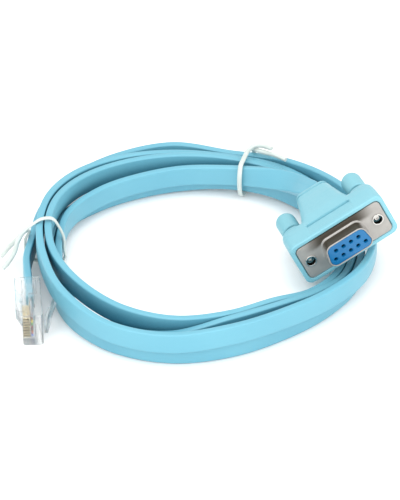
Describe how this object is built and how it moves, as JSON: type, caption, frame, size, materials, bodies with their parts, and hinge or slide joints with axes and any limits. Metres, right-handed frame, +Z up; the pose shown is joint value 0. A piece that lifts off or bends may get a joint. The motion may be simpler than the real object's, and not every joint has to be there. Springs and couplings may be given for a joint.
{
  "type": "rj45 console cable",
  "caption": "Flat console cable wound in a loose loop, with a D connector and thumbscrews at one end and a clear modular plug at the other.",
  "frame": {"origin": "on the floor, midway between the far sides of the two connectors", "axes": "+Z up, +X from the modular plug towards the nine-way connector, +Y towards the back of the loop"},
  "size_m": [0.1282, 0.1174, 0.0326],
  "materials": {
    "cable_jacket": "smooth light blue vinyl",
    "moulded_hood": "satin light blue moulding",
    "insulator": "blue moulding",
    "shell_steel": "tin plated sheet steel",
    "plated_steel": "nickel plated",
    "contact_gold": "gold plated",
    "clear_plastic": "clear polycarbonate",
    "tie_wire": "white plastic coated wire",
    "insulation_blue": "blue wire insulation",
    "insulation_orange": "orange wire insulation",
    "insulation_black": "black wire insulation",
    "insulation_red": "red wire insulation",
    "insulation_green": "green wire insulation",
    "insulation_yellow": "yellow wire insulation",
    "insulation_brown": "brown wire insulation",
    "insulation_slate": "slate wire insulation"
  },
  "bodies": {
    "cable": {"flat_cable": "cable_jacket", "connector_hood": "moulded_hood", "front_shell": "shell_steel", "insulator": "insulator", "left_eyelet": "plated_steel", "right_eyelet": "plated_steel", "plug_body": "clear_plastic", "rear_twist_tie": "tie_wire", "left_twist_tie": "tie_wire", "socket_contact_1": "contact_gold", "socket_contact_2": "contact_gold", "socket_contact_3": "contact_gold", "socket_contact_4": "contact_gold", "socket_contact_5": "contact_gold", "socket_contact_6": "contact_gold", "socket_contact_7": "contact_gold", "socket_contact_8": "contact_gold", "socket_contact_9": "contact_gold", "contact_blade_1": "contact_gold", "contact_blade_2": "contact_gold", "contact_blade_3": "contact_gold", "contact_blade_4": "contact_gold", "contact_blade_5": "contact_gold", "contact_blade_6": "contact_gold", "contact_blade_7": "contact_gold", "contact_blade_8": "contact_gold", "conductor_blue": "insulation_blue", "conductor_orange": "insulation_orange", "conductor_black": "insulation_black", "conductor_red": "insulation_red", "conductor_green": "insulation_green", "conductor_yellow": "insulation_yellow", "conductor_brown": "insulation_brown", "conductor_slate": "insulation_slate"},
    "left_thumbscrew": {"left_thumbscrew_knob": "moulded_hood", "left_thumbscrew_shaft": "plated_steel"},
    "right_thumbscrew": {"right_thumbscrew_knob": "moulded_hood", "right_thumbscrew_shaft": "plated_steel"},
    "latch": {"plug_latch": "clear_plastic"}
  },
  "joints": [
    {"name": "left_thumbscrew_turn", "type": "hinge", "parent": "cable", "child": "left_thumbscrew", "pos_m": [0.03334, -0.00515, 0.01346], "axis": [0.2883, -0.955, 0.0698], "continuous": true},
    {"name": "right_thumbscrew_turn", "type": "hinge", "parent": "cable", "child": "right_thumbscrew", "pos_m": [0.05456, 0.00206, 0.02454], "axis": [0.2883, -0.955, 0.0698], "continuous": true},
    {"name": "latch_press", "type": "hinge", "parent": "cable", "child": "latch", "pos_m": [-0.05032, -0.03018, 0.00584], "axis": [0, 0, 1], "range_deg": [0, 12], "stiffness_Nm_per_rad": 0.05}
  ]
}
